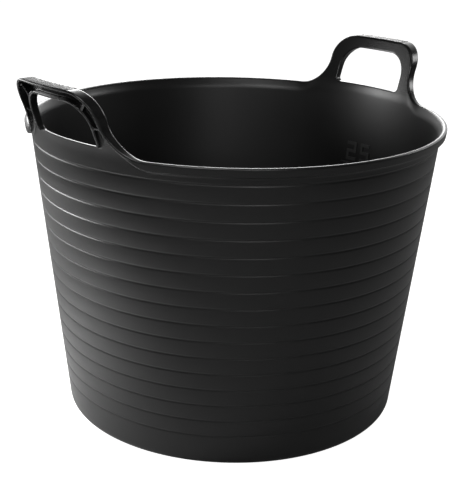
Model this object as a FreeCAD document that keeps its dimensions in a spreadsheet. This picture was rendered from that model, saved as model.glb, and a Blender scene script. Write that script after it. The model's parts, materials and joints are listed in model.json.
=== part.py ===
"""Flexible mixing tub: one soft moulding, drawn as the functional regions that it is made of.

Frame: +Z up, origin at the centre of the face that the tub stands on, +X through the handle that
stands over the litre mark.  Millimetres.  The handle at -X is the same shape turned half round.
"""

import FreeCAD
import Part
import math
import os
import Sketcher

Vector = FreeCAD.Vector

# Driving dimensions: alias, value, meaning.  Lengths are in millimetres, angles in degrees.
SIZES = (
    ("rim_radius", 220.0, "outer radius of the lip at the rim plane"),
    ("rim_height", 315.0, "rim plane above the ground"),
    ("wall_draft", 6.32, "lean of the wall from upright"),
    ("wall_thick", 3.0, "wall thickness"),
    ("lip_reach", 6.1, "how far the lip stands out from the wall line"),
    ("lip_band", 8.7, "height of the lip's outer band"),
    ("lip_foot", 15.0, "drop from the rim plane to where the lip starts"),
    ("lip_edge", 3.0, "thickness of the lip's top edge"),
    ("lip_flare", 12.0, "height over which the inside flares out into the lip"),
    ("lip_flare_round", 8.0, "rounding where that flare starts"),
    ("lip_under", 1.5, "fall of the lip's underside from its edge to the wall"),
    ("lip_under_round", 3.0, "rounding of the hollow under the lip"),
    ("band_round", 0.8, "rounding of the outer band's lower edge"),
    ("rim_round", 1.2, "rounding of the outer band's upper edge"),
    ("edge_round", 1.0, "rounding of the lip's inner edge"),
    ("floor_thick", 3.5, "floor thickness"),
    ("floor_lift", 2.5, "air under the middle of the floor"),
    ("foot_width", 21.0, "width of the ring that the tub stands on, in from the wall's foot"),
    ("foot_height", 14.0, "height of the ring that joins floor and wall"),
    ("foot_round", 8.0, "rounding of the bottom corner, outside"),
    ("foot_round_inside", 7.0, "rounding of the bottom corner, inside"),
    ("gate_radius", 6.0, "radius of the moulding gate's nub"),
    ("gate_drop", 1.3, "how far the nub stands down from the floor"),
    ("ring_count", 16.0, "number of grooves round the wall"),
    ("ring_first", 17.5, "first groove below the rim plane"),
    ("ring_pitch", 17.6, "distance between grooves"),
    ("ring_radius", 2.0, "radius of a groove's section"),
    ("ring_depth", 0.7, "depth of a groove"),
    ("handle_lean", 17.0, "lean of the handle's inner face from upright"),
    ("flange_lean", 22.0, "lean of the outer flange's free edge"),
    ("bead_lean", 20.0, "lean of the inner flange's free edge"),
    ("bead_depth", 6.7, "depth of the inner flange at the rim plane, web included"),
    ("flange_thick", 2.5, "thickness of the two flanges"),
    ("handle_half_width", 60.0, "half the width of the handle"),
    ("handle_rise", 59.5, "top of the handle above the rim plane"),
    ("handle_corner", 26.0, "rounding of the handle's upper corners"),
    ("root_sweep", 32.0, "radius of the curve from the rim up into a leg"),
    ("root_band_sweep", 36.0, "radius of the lower edge of that curve"),
    ("lip_gap_margin", 2.0, "straight lip past the end of that curve"),
    ("leg_width", 14.0, "width of a handle's leg beside the finger opening"),
    ("hole_sill", 6.0, "lower edge of the finger opening above the rim plane"),
    ("grip_height", 13.0, "height of the grip over the finger opening"),
    ("hole_corner", 24.0, "rounding of the opening's upper corners"),
    ("hole_foot_corner", 5.0, "rounding of the opening's lower corners"),
    ("hinge_rise", 14.0, "line about which a leg flexes, above the rim plane"),
    ("knuckle_margin", 0.3, "knuckle radius past half the leg's depth"),
    ("flex_gap", 0.5, "air between a leg's knuckle and its root"),
    ("root_drop", 3.0, "top of the root below the flex line"),
    ("rib_thick", 2.4, "thickness of the ribs between the flanges"),
    ("leg_rib_rise", 25.0, "rib low on a leg, above the rim plane"),
    ("corner_rib_share", 0.2, "rib's place in from a corner, as a share of the corner's radius"),
    ("corner_rib_tilt", 45.0, "tilt of a corner rib"),
    ("rib_blank", 16.0, "half the length of the bar from which a rib is cut"),
    ("pad_thick", 0.6, "thickness of the pebbled grip pad"),
    ("pad_inset", 2.0, "pad's distance from the flange's edges"),
    ("figure_height", 22.0, "height of a litre figure"),
    ("figure_width", 14.0, "width of a litre figure"),
    ("figure_stroke", 3.6, "stroke of a litre figure"),
    ("figure_space", 6.0, "gap between the two figures"),
    ("figure_foot", 83.5, "foot of the figures below the rim plane"),
    ("mark_relief", 0.8, "how far the marks stand off the wall"),
    ("mark_blank_top", 50.0, "top of the skin that the marks are cut from, below the rim plane"),
    ("mark_blank_foot", 120.0, "foot of that skin, below the rim plane"),
    ("level_drop", 87.0, "level line below the rim plane"),
    ("level_half_length", 24.0, "half the length of the level line"),
    ("level_height", 1.4, "width of the level line"),
)

BLANK = 400.0         # half size of the blank round a cutting outline, past any part of the tub
HALF_TURN = FreeCAD.Placement(Vector(0, 0, 0), FreeCAD.Rotation(Vector(0, 0, 1), 180))
FULL_CIRCLE = 360.0
MARK_ARC = "30"       # degrees of the ring from which the litre marks are cut
HANDLE_ARC = "70"     # degrees of the ring from which a handle's moving parts are cut

doc = FreeCAD.newDocument("MixingTub")
NODES = []


# ---------------------------------------------------------------- sizes and places

def fill_sheet():
    """Put the driving dimensions in the sheet, one a row, with their meaning beside them."""
    sheet = doc.addObject("Spreadsheet::Sheet", "Sizes")
    for row, (alias, number, meaning) in enumerate(SIZES, start=1):
        sheet.set(f"A{row}", alias)
        sheet.set(f"B{row}", str(number))
        sheet.setAlias(f"B{row}", alias)
        sheet.set(f"C{row}", meaning)
    doc.recompute()


def cell(alias):
    """Expression that reads one driving dimension."""
    return f"Sizes.{alias}"


def above_rim(rise):
    """Height of something that stands a given rise above the rim plane."""
    return f"({cell('rim_height')} + ({rise}))"


def below_rim(drop):
    """Height of something that lies a given drop below the rim plane."""
    return f"({cell('rim_height')} - ({drop}))"


RIM = above_rim("0")
HINGE_Z = above_rim(cell("hinge_rise"))
HANDLE_TOP = above_rim(cell("handle_rise"))
HOLE_SIDE = f"({cell('handle_half_width')} - {cell('leg_width')})"
HOLE_TOP = f"({HANDLE_TOP} - {cell('grip_height')})"
FLOOR_TOP = f"({cell('floor_lift')} + {cell('floor_thick')})"
LIP_GAP = f"({cell('handle_half_width')} + {cell('root_sweep')} + {cell('lip_gap_margin')})"
SADDLE_ARC = f"(2 * asin({LIP_GAP} / {cell('rim_radius')}))"
LIP_ARC = f"(180 deg - {SADDLE_ARC})"
RIM_WALL = f"({cell('rim_radius')} - {cell('lip_reach')})"


def wall_outside(height):
    """Radius of the wall's outer face at a height."""
    return f"({RIM_WALL} - ({RIM} - ({height})) * tan({cell('wall_draft')}))"


FOOT_INNER = f"({wall_outside('0')} - {cell('foot_width')})"


def wall_inside(height):
    """Radius of the wall's inner face at a height."""
    return f"({wall_outside(height)} - {cell('wall_thick')})"


def leaning(radius, lean, height):
    """Radius at a height of a face that leans out from a radius at the rim plane."""
    return f"({radius} + (({height}) - {RIM}) * tan({cell(lean)}))"


def web_inside(height):
    """Radius of the handle web's inner face."""
    return leaning(f"({RIM_WALL} - {cell('wall_thick')})", "handle_lean", height)


def web_outside(height):
    """Radius of the handle web's outer face, on which the flanges stand."""
    return leaning(RIM_WALL, "handle_lean", height)


def flange_edge(height):
    """Radius of the outer flange's free edge."""
    return leaning(cell("rim_radius"), "flange_lean", height)


def bead_edge(height):
    """Radius of the inner flange's free edge."""
    foot = f"({RIM_WALL} - {cell('wall_thick')} + {cell('bead_depth')})"
    return leaning(foot, "bead_lean", height)


def leg_foot_half_width():
    """Half width of the handle's outline at the height of the flex line."""
    sweep = cell("root_sweep")
    drop = f"({sweep} - {cell('hinge_rise')})"
    return f"({cell('handle_half_width')} + {sweep} - sqrt({sweep}^2 - {drop}^2))"


LEG_NEAR_X = f"sqrt({web_inside(HINGE_Z)}^2 - {leg_foot_half_width()}^2)"
LEG_SIDE = f"({cell('handle_half_width')} - {cell('flange_thick')})"
LEG_FAR_X = f"sqrt({flange_edge(HINGE_Z)}^2 - {LEG_SIDE}^2)"
HINGE_X = f"(({LEG_NEAR_X} + {LEG_FAR_X}) / 2)"
KNUCKLE = f"(({LEG_FAR_X} - {LEG_NEAR_X}) / 2 + {cell('knuckle_margin')})"


# ---------------------------------------------------------------- sketches and features

def new_body(label, turned=False):
    """Start a sub-part, turned half round the tub when it belongs to the handle at -X."""
    body = doc.addObject("PartDesign::Body", label)
    body.Label = label
    if turned:
        body.Placement = HALF_TURN
    NODES.append(body)
    return body


def number(expression):
    """Present value of an expression."""
    return float(doc.getObject("Sizes").evalExpression(expression))


class Drawing:
    """A sketch on one of a body's own origin planes, whose constraints are all added together."""

    def __init__(self, body, role):
        self.sketch = body.newObject("Sketcher::SketchObject", "Outline")
        plane = [item for item in body.Origin.OriginFeatures if item.Role == role][0]
        self.sketch.AttachmentSupport = [(plane, "")]
        self.sketch.MapMode = "FlatFace"
        self.rules = []

    def rule(self, kind, *places, expression=None):
        """Note a constraint, with the expression that drives its value if it has one."""
        self.rules.append((Sketcher.Constraint(kind, *places), expression))

    def pin(self, geometry, vertex, across, up):
        """Hold a vertex at an expression's distances from the sketch's origin."""
        for kind, expression in (("DistanceX", across), ("DistanceY", up)):
            self.rule(kind, -1, 1, geometry, vertex, number(expression), expression=expression)

    def line(self, start, end):
        """Add a straight side."""
        return self.sketch.addGeometry(Part.LineSegment(start, end), False)

    def arc(self, centre, radius, start, end):
        """Add an arc that runs anticlockwise between two points."""
        angles = [math.atan2(point.y - centre.y, point.x - centre.x) for point in (start, end)]
        if angles[1] <= angles[0]:
            angles[1] += 2 * math.pi
        circle = Part.Circle(centre, Vector(0, 0, 1), radius)
        return self.sketch.addGeometry(Part.ArcOfCircle(circle, *angles), False)

    def disc(self, across, up, radius):
        """Add a circle about a point."""
        circle = Part.Circle(Vector(number(across), number(up), 0), Vector(0, 0, 1), number(radius))
        index = self.sketch.addGeometry(circle, False)
        self.rule("Radius", index, circle.Radius, expression=radius)
        self.pin(index, 3, across, up)

    def loop(self, corners):
        """Add a closed outline from corners (across, up, rounding), each an expression or None."""
        points = [Vector(number(across), number(up), 0) for across, up, _ in corners]
        radii = [number(rounding) if rounding else 0.0 for _, _, rounding in corners]
        count = len(points)
        ends = []
        for index, radius in enumerate(radii):
            ends.append(round_off(points[index - 1], points[index], points[(index + 1) % count], radius))
        sides = [self.line(ends[index][2], ends[(index + 1) % count][0]) for index in range(count)]
        for index, (across, up, rounding) in enumerate(corners):
            into, onward = sides[index - 1], sides[index]
            if rounding:
                self.round_corner(into, onward, ends[index], radii[index], rounding)
                spot = self.sketch.addGeometry(Part.Point(points[index]), True)
                self.rule("PointOnObject", spot, 1, into)
                self.rule("PointOnObject", spot, 1, onward)
                self.pin(spot, 1, across, up)
            else:
                self.rule("Coincident", into, 2, onward, 1)
                self.pin(onward, 1, across, up)

    def round_corner(self, into, onward, ends, radius, rounding):
        """Join two sides with an arc that is tangent to both."""
        start, centre, end = ends
        left_turn = (centre - start).cross(end - start).z < 0
        first, last = (start, end) if left_turn else (end, start)
        arc = self.arc(centre, radius, first, last)
        self.rule("Tangent", into, 2, arc, 1 if left_turn else 2)
        self.rule("Tangent", onward, 1, arc, 2 if left_turn else 1)
        self.rule("Radius", arc, radius, expression=rounding)

    def finish(self):
        """Add the constraints, bind their values and solve."""
        indices = self.sketch.addConstraint([rule for rule, _ in self.rules])
        for index, (_, expression) in zip(indices, self.rules):
            if expression:
                self.sketch.setExpression(f"Constraints[{index}]", expression)
        doc.recompute()
        if "Invalid" in self.sketch.State or not self.sketch.FullyConstrained:
            raise RuntimeError(f"{self.sketch.Name}: {self.sketch.State}, not fully constrained")
        return self.sketch


def round_off(before, corner, after, radius):
    """Where a rounded corner leaves its first side, its arc's centre, and where it meets the next."""
    if not radius:
        return corner, corner, corner
    inward = (corner - before).normalize()
    outward = (after - corner).normalize()
    turn = inward.getAngle(outward)
    reach = radius * math.tan(turn / 2)
    towards = (outward - inward).normalize()
    centre = corner + towards * (radius / math.cos(turn / 2))
    return corner - inward * reach, centre, corner + outward * reach


def turn_profile(body, corners, arc=None, role="XZ_Plane"):
    """Turn a radius-and-height outline about the tub's axis: full circle, or an arc about the sketch."""
    drawing = Drawing(body, role)
    drawing.loop(corners)
    sketch = drawing.finish()
    feature = body.newObject("PartDesign::Revolution", "Turned")
    feature.Profile = sketch
    feature.ReferenceAxis = (sketch, ["V_Axis"])
    feature.Angle = FULL_CIRCLE
    if arc:
        feature.Midplane = True
        feature.setExpression("Angle", arc)
    doc.recompute()


def cut_through(body, role, draw):
    """Cut outlines right through the body, both ways from a plane, and check that they bite."""
    before = body.Shape.Volume
    drawing = Drawing(body, role)
    draw(drawing)
    feature = body.newObject("PartDesign::Pocket", "Cut")
    feature.Profile = drawing.finish()
    feature.SideType = "Two sides"
    feature.Type = "ThroughAll"
    feature.Type2 = "ThroughAll"
    doc.recompute()
    if body.Shape.Volume >= before:
        raise RuntimeError(f"{body.Label}: a cut removes nothing")


def keep_inside(body, corners):
    """Trim away all that lies outside an outline seen along X."""
    def draw(drawing):
        drawing.loop(rectangle(-BLANK, -BLANK, BLANK, 2 * BLANK))
        drawing.loop(corners)
    cut_through(body, "YZ_Plane", draw)


def cut_inside(body, corners, role="YZ_Plane"):
    """Cut away all that lies inside an outline."""
    cut_through(body, role, lambda drawing: drawing.loop(corners))


# ---------------------------------------------------------------- outlines

def rectangle(left, foot, right, top):
    """Sharp rectangle."""
    return [
        (f"{left}", f"{foot}", None),
        (f"{right}", f"{foot}", None),
        (f"{right}", f"{top}", None),
        (f"{left}", f"{top}", None),
    ]


def mirrored(half):
    """Close an outline that is the same on both sides, from its corners on the +Y side."""
    other = [(f"(-1) * ({across})", up, rounding) for across, up, rounding in reversed(half)]
    return half + other


def handle_outline():
    """Outside of a handle with the stretch of rim that sweeps up into its legs."""
    side = cell("handle_half_width")
    end = f"({BLANK} / 2)"
    return mirrored([
        (end, below_rim(f"2 * {cell('lip_foot')}"), None),
        (end, RIM, None),
        (side, RIM, cell("root_sweep")),
        (side, HANDLE_TOP, cell("handle_corner")),
    ])


def channel_outline():
    """Outside of the channel between the flanges, widening under the swept-up rim."""
    inset = cell("flange_thick")
    foot = below_rim(cell("lip_foot"))
    return mirrored([
        (f"({BLANK} / 2)", below_rim(f"3 * {cell('lip_foot')}"), None),
        (f"({BLANK} / 2)", foot, None),
        (LEG_SIDE, foot, cell("root_band_sweep")),
        (LEG_SIDE, f"({HANDLE_TOP} - {inset})", f"({cell('handle_corner')} - {inset})"),
    ])


def hole_outline(grow="0"):
    """Finger opening, grown all round by a distance."""
    side = f"({HOLE_SIDE} + {grow})"
    return mirrored([
        (side, above_rim(f"{cell('hole_sill')} - {grow}"), f"({cell('hole_foot_corner')} + {grow})"),
        (side, f"({HOLE_TOP} + {grow})", f"({cell('hole_corner')} + {grow})"),
    ])


def slab(middle_across, middle_up, reach, tilt):
    """Thin bar about a point of the YZ plane, as thick as a rib, its length tilted from +Y."""
    run = f"({reach} * cos({tilt}))"
    climb = f"({reach} * sin({tilt}))"
    side_run = f"({cell('rib_thick')} / 2 * sin({tilt}))"
    side_climb = f"({cell('rib_thick')} / 2 * cos({tilt}))"
    corners = []
    for length, thick in ((-1, -1), (1, -1), (1, 1), (-1, 1)):
        across = f"({middle_across} + ({length}) * {run} - ({thick}) * {side_run})"
        up = f"({middle_up} + ({length}) * {climb} + ({thick}) * {side_climb})"
        corners.append((across, up, None))
    return corners


# ---------------------------------------------------------------- the tub's fixed parts

def make_floor():
    """Flat floor, held clear of the ground, with the gate's nub under its middle."""
    body = new_body("base_floor")
    lift = cell("floor_lift")
    nub_foot = f"({lift} - {cell('gate_drop')})"
    turn_profile(body, [
        ("0", nub_foot, None),
        (cell("gate_radius"), nub_foot, None),
        (cell("gate_radius"), lift, None),
        (FOOT_INNER, lift, None),
        (FOOT_INNER, FLOOR_TOP, None),
        ("0", FLOOR_TOP, None),
    ])


def make_foot_ring():
    """Ring that the tub stands on, turning the floor up into the wall."""
    body = new_body("foot_ring")
    top = cell("foot_height")
    turn_profile(body, [
        (FOOT_INNER, "0", None),
        (wall_outside("0"), "0", cell("foot_round")),
        (wall_outside(top), top, None),
        (wall_inside(top), top, None),
        (wall_inside(FLOOR_TOP), FLOOR_TOP, cell("foot_round_inside")),
        (FOOT_INNER, FLOOR_TOP, None),
    ])


def make_wall():
    """Conical wall with shallow grooves at an even pitch all the way down its outside."""
    body = new_body("side_wall")
    foot = cell("foot_height")
    top = below_rim(cell("lip_foot"))
    turn_profile(body, [
        (wall_inside(foot), foot, None),
        (wall_outside(foot), foot, None),
        (wall_outside(top), top, None),
        (wall_inside(top), top, None),
    ])
    before = body.Shape.Volume
    drawing = Drawing(body, "XZ_Plane")
    for index in range(int(number(cell("ring_count")))):
        height = below_rim(f"{cell('ring_first')} + {index} * {cell('ring_pitch')}")
        centre = f"({wall_outside(height)} + {cell('ring_radius')} - {cell('ring_depth')})"
        drawing.disc(centre, height, cell("ring_radius"))
    sketch = drawing.finish()
    rings = body.newObject("PartDesign::Groove", "Rings")
    rings.Profile = sketch
    rings.ReferenceAxis = (sketch, ["V_Axis"])
    rings.Angle = 360.0
    doc.recompute()
    if body.Shape.Volume >= before:
        raise RuntimeError("side_wall: the grooves remove nothing")


def lip_underside():
    """Corners of the lip's section from the wall out to the band's lower edge."""
    foot = below_rim(cell("lip_foot"))
    band = below_rim(cell("lip_band"))
    middle = f"({wall_outside(band)} + {cell('lip_reach')} / 2)"
    return [
        (wall_outside(foot), foot, None),
        (middle, below_rim(f"{cell('lip_band')} + {cell('lip_under')}"), cell("lip_under_round")),
        (f"({cell('rim_radius')} - {cell('rim_round')})", band, cell("band_round")),
    ]


def lip_corners():
    """Section of the lip: a thick band that the wall flares out into."""
    foot = below_rim(cell("lip_foot"))
    flare = below_rim(cell("lip_flare"))
    rim = cell("rim_radius")
    return [(wall_inside(foot), foot, None)] + lip_underside() + [
        (rim, RIM, cell("rim_round")),
        (f"({rim} - {cell('lip_edge')})", RIM, cell("edge_round")),
        (wall_inside(flare), flare, cell("lip_flare_round")),
    ]


def make_lip(label, turned):
    """Half of the lip, round +Y from one handle to the other."""
    body = new_body(label, turned)
    turn_profile(body, lip_corners(), LIP_ARC, role="YZ_Plane")


def cut_root(body):
    """End a fixed root below the flex line, hollowed to clear the leg's knuckle."""
    top = f"({HINGE_Z} - {cell('root_drop')})"
    cut_inside(body, rectangle(-BLANK, top, BLANK, BLANK * 2), role="XZ_Plane")
    radius = f"({KNUCKLE} + {cell('flex_gap')})"
    cut_through(body, "XZ_Plane", lambda drawing: drawing.disc(HINGE_X, HINGE_Z, radius))


def draw_under_leg(drawing):
    """Outline of all that lies below the flex line, save for a half-round knuckle about it."""
    middle, level, radius = number(HINGE_X), number(HINGE_Z), number(KNUCKLE)
    places = [
        (middle - radius, level), (-BLANK, level), (-BLANK, level - BLANK),
        (middle + BLANK, level - BLANK), (middle + BLANK, level), (middle + radius, level),
    ]
    points = [Vector(across, up, 0) for across, up in places]
    sides = [drawing.line(start, end) for start, end in zip(points, points[1:])]
    knuckle = drawing.arc(Vector(middle, level, 0), radius, points[0], points[-1])
    for first, second in zip(sides, sides[1:]):
        drawing.rule("Coincident", first, 2, second, 1)
    drawing.rule("Coincident", knuckle, 1, sides[0], 1)
    drawing.rule("Coincident", knuckle, 2, sides[-1], 2)
    for level_side in (sides[0], sides[2], sides[-1]):
        drawing.rule("Horizontal", level_side)
    for upright in (sides[1], sides[3]):
        drawing.rule("Vertical", upright)
    drawing.rule("Radius", knuckle, radius, expression=KNUCKLE)
    drawing.pin(knuckle, 3, HINGE_X, HINGE_Z)
    drawing.pin(sides[0], 2, f"{-BLANK}", HINGE_Z)
    drawing.pin(sides[2], 2, f"({HINGE_X} + {BLANK})", f"({HINGE_Z} - {BLANK})")
    drawing.rule("DistanceY", -1, 1, sides[3], 2, level, expression=HINGE_Z)


def cut_leg(body):
    """End a leg below the flex line in a knuckle about that line."""
    cut_through(body, "XZ_Plane", draw_under_leg)


def make_saddle(side, turned):
    """Stretch of wall that stands up under a handle, to the sill of its opening and its roots."""
    body = new_body(f"{side}_saddle", turned)
    foot = below_rim(cell("lip_foot"))
    turn_profile(body, [
        (wall_inside(foot), foot, None),
        (wall_outside(foot), foot, None),
        (wall_outside(RIM), RIM, None),
        (web_outside(HINGE_Z), HINGE_Z, None),
        (web_inside(HINGE_Z), HINGE_Z, None),
        (wall_inside(RIM), RIM, None),
    ], SADDLE_ARC)
    keep_inside(body, handle_outline())
    cut_inside(body, hole_outline())
    cut_root(body)


def make_riser(side, hand, turned):
    """Stretch of lip that sweeps up into one leg's outer flange."""
    body = new_body(f"{side}_riser_{hand}", turned)
    turn_profile(body, lip_underside() + [
        (cell("rim_radius"), RIM, None),
        (flange_edge(HINGE_Z), HINGE_Z, None),
        (web_outside(HINGE_Z), HINGE_Z, None),
        (wall_outside(RIM), RIM, None),
    ], SADDLE_ARC)
    keep_inside(body, handle_outline())
    cut_inside(body, channel_outline())
    near, far = (-BLANK, 0) if hand == "left" else (0, BLANK)
    cut_inside(body, rectangle(near, 0, far, 2 * BLANK))
    cut_root(body)


# ---------------------------------------------------------------- the handles

def make_web(side, turned):
    """Inner skin of a handle, all round the finger opening."""
    body = new_body(f"{side}_web", turned)
    foot = RIM
    turn_profile(body, [
        (web_inside(foot), foot, None),
        (web_outside(foot), foot, None),
        (web_outside(HANDLE_TOP), HANDLE_TOP, None),
        (web_inside(HANDLE_TOP), HANDLE_TOP, None),
    ], HANDLE_ARC)
    keep_inside(body, handle_outline())
    cut_inside(body, hole_outline())
    cut_leg(body)


def channel_profile(edge):
    """Section of a part that stands on the web's outer face out to a free edge."""
    return [
        (web_outside(RIM), RIM, None),
        (edge(RIM), RIM, None),
        (edge(HANDLE_TOP), HANDLE_TOP, None),
        (web_outside(HANDLE_TOP), HANDLE_TOP, None),
    ]


def make_outer_flange(side, turned):
    """Flange round the outside of a handle, the rim's lip carried up and over."""
    body = new_body(f"{side}_outer_flange", turned)
    turn_profile(body, channel_profile(flange_edge), HANDLE_ARC)
    keep_inside(body, handle_outline())
    cut_inside(body, channel_outline())
    cut_leg(body)


def make_inner_flange(side, turned):
    """Shallower flange round the finger opening."""
    body = new_body(f"{side}_inner_flange", turned)
    turn_profile(body, channel_profile(bead_edge), HANDLE_ARC)
    keep_inside(body, hole_outline(cell("flange_thick")))
    cut_inside(body, hole_outline())
    cut_leg(body)


def make_rib(label, turned, middle_across, middle_up, tilt):
    """Rib across the channel from one flange to the other."""
    body = new_body(label, turned)
    turn_profile(body, channel_profile(bead_edge), HANDLE_ARC)
    keep_inside(body, channel_outline())
    cut_inside(body, hole_outline(cell("flange_thick")))
    keep_inside(body, slab(middle_across, middle_up, cell("rib_blank"), tilt))


def make_ribs(side, turned):
    """A slanting rib at each upper corner and a level one low on each leg."""
    inward = f"{cell('hole_corner')} * {cell('corner_rib_share')}"
    corner_across = f"({HOLE_SIDE} - {inward})"
    corner_up = f"({HOLE_TOP} - {inward})"
    leg_across = f"({cell('handle_half_width')} + {HOLE_SIDE}) / 2"
    leg_up = above_rim(cell("leg_rib_rise"))
    for hand, sign in (("left", "1"), ("right", "(-1)")):
        tilt = f"({sign} * {cell('corner_rib_tilt')})"
        make_rib(f"{side}_corner_rib_{hand}", turned, f"{sign} * {corner_across}", corner_up, tilt)
        make_rib(f"{side}_leg_rib_{hand}", turned, f"{sign} * {leg_across}", leg_up, "0")


def make_pad(side, turned):
    """Pad let onto the top of the grip, with a chamfer along its two long edges."""
    body = new_body(f"{side}_grip_pad", turned)
    top = f"({HANDLE_TOP} + {cell('pad_thick')})"
    slope = f"({HANDLE_TOP} + {cell('pad_thick')} / 2)"
    inner = f"({web_inside(HANDLE_TOP)} + {cell('pad_inset')})"
    outer = f"({flange_edge(HANDLE_TOP)} - {cell('pad_inset')})"
    turn_profile(body, [
        (inner, HANDLE_TOP, None),
        (outer, HANDLE_TOP, None),
        (outer, slope, None),
        (f"({outer} - {cell('pad_thick')})", top, None),
        (f"({inner} + {cell('pad_thick')})", top, None),
        (inner, slope, None),
    ], HANDLE_ARC)
    reach = f"({cell('handle_half_width')} - {cell('handle_corner')})"
    past_top = f"({HANDLE_TOP} + {cell('flange_thick')})"
    keep_inside(body, mirrored([(reach, RIM, None), (reach, past_top, None)]))


# ---------------------------------------------------------------- litre mark

def mark_blank(label):
    """Thin skin of the wall's inner face under the +X handle, from which a mark is cut."""
    body = new_body(label)
    foot = below_rim(cell("mark_blank_foot"))
    top = below_rim(cell("mark_blank_top"))
    relief = cell("mark_relief")
    turn_profile(body, [
        (f"({wall_inside(foot)} - {relief})", foot, None),
        (wall_inside(foot), foot, None),
        (wall_inside(top), top, None),
        (f"({wall_inside(top)} - {relief})", top, None),
    ], MARK_ARC)
    return body


def make_figure(label, steps, start):
    """Block figure whose corners are given as steps of its width, height and stroke."""
    body = mark_blank(label)
    width, height, stroke = cell("figure_width"), cell("figure_height"), cell("figure_stroke")
    corners = []
    for wide, wide_stroke, high, high_stroke in steps:
        across = f"({start} - ({wide} * {width} + ({wide_stroke}) * {stroke}))"
        rise = f"({high} * {height} + ({high_stroke}) * {stroke})"
        corners.append((across, below_rim(f"{cell('figure_foot')} - {rise}"), None))
    keep_inside(body, corners)


def make_marks():
    """Litre figures 2 and 5 over a short level line, on the inside of the wall."""
    two = (
        (0, 0, 1, 0), (1, 0, 1, 0), (1, 0, 0.5, -0.5), (0, 1, 0.5, -0.5), (0, 1, 0, 1), (1, 0, 0, 1),
        (1, 0, 0, 0), (0, 0, 0, 0), (0, 0, 0.5, 0.5), (1, -1, 0.5, 0.5), (1, -1, 1, -1), (0, 0, 1, -1),
    )
    five = tuple((1 - wide, -wide_stroke, high, rise) for wide, wide_stroke, high, rise in two)
    left = f"({cell('figure_width')} + {cell('figure_space')} / 2)"
    make_figure("figure_two", two, left)
    make_figure("figure_five", five, f"((-1) * {cell('figure_space')} / 2)")
    line = mark_blank("level_line")
    half = cell("level_half_length")
    foot = below_rim(f"{cell('level_drop')} + {cell('level_height')} / 2")
    top = below_rim(f"{cell('level_drop')} - {cell('level_height')} / 2")
    keep_inside(line, mirrored([(half, foot, None), (half, top, None)]))


# ---------------------------------------------------------------- checks and output

def check_and_write():
    """Stop at any failed object or bad shape, then write one file a sub-part."""
    for item in doc.Objects:
        if "Invalid" in item.State or "Error" in item.State:
            raise RuntimeError(f"{item.Name} did not rebuild: {item.State}")
    os.makedirs("parts", exist_ok=True)
    for body in NODES:
        shape = body.Shape
        if shape.isNull() or not shape.isValid() or len(shape.Solids) != 1:
            raise RuntimeError(f"{body.Label}: bad shape, {len(shape.Solids)} solids")
        shape.exportStep(f"parts/{body.Label}.step")
        print(f"{body.Label}: {shape.Volume / 1000.0:.2f} cm3")


def main():
    """Build every sub-part, then write them."""
    fill_sheet()
    make_floor()
    make_foot_ring()
    make_wall()
    make_lip("rear_lip", False)
    make_lip("front_lip", True)
    make_marks()
    for side, turned in (("marked", False), ("plain", True)):
        make_saddle(side, turned)
        make_riser(side, "left", turned)
        make_riser(side, "right", turned)
        make_web(side, turned)
        make_outer_flange(side, turned)
        make_inner_flange(side, turned)
        make_ribs(side, turned)
        make_pad(side, turned)
    doc.recompute()
    check_and_write()
    print(f"flex line x {number(HINGE_X):.3f} z {number(HINGE_Z):.3f}, knuckle {number(KNUCKLE):.3f}")


main()
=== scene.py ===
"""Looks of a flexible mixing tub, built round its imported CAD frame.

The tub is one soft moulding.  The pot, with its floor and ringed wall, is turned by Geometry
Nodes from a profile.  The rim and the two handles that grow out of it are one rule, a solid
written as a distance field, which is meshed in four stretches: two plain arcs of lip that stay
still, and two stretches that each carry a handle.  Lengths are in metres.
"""

from __future__ import annotations

import json
import logging
import math
from dataclasses import dataclass, field
from enum import Enum

import bmesh
import bpy
import numpy as np
from mathutils import Matrix, Vector

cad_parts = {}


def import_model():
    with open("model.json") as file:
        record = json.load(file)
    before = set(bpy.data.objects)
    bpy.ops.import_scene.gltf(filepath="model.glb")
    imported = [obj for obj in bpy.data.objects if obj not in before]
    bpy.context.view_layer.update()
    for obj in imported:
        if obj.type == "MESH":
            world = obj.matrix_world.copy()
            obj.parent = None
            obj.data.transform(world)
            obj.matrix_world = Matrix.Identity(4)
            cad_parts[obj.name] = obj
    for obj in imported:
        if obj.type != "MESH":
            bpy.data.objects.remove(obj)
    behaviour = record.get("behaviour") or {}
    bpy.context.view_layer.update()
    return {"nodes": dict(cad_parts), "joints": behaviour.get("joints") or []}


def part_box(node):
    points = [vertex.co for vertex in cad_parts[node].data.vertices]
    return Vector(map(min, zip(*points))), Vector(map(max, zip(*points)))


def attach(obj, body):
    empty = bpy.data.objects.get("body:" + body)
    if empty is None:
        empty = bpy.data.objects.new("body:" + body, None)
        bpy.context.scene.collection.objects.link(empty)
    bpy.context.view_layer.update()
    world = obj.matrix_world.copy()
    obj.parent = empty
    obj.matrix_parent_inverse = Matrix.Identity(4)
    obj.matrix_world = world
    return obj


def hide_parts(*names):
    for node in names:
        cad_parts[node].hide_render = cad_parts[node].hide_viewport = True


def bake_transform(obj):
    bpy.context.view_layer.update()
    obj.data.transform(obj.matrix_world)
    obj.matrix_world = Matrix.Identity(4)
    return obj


LOG = logging.getLogger("tub")
MM = 0.001


class Side(Enum):
    """The two ends of the tub, each with its handle, and the way round that they face."""

    MARKED = 0.0
    PLAIN = math.pi

    @property
    def label(self) -> str:
        """Name of this side as the frame's nodes and bodies spell it."""
        return self.name.lower()


# ---------------------------------------------------------------- soft shape rules

def soft_ramp(value: np.ndarray, width: float) -> np.ndarray:
    """Ramp that is 0 well below 0 and rises at 45 degrees well above it, eased over a width."""
    eased = (value + width) ** 2 / (4.0 * width)
    return np.where(value < -width, 0.0, np.where(value > width, value, eased))


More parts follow.
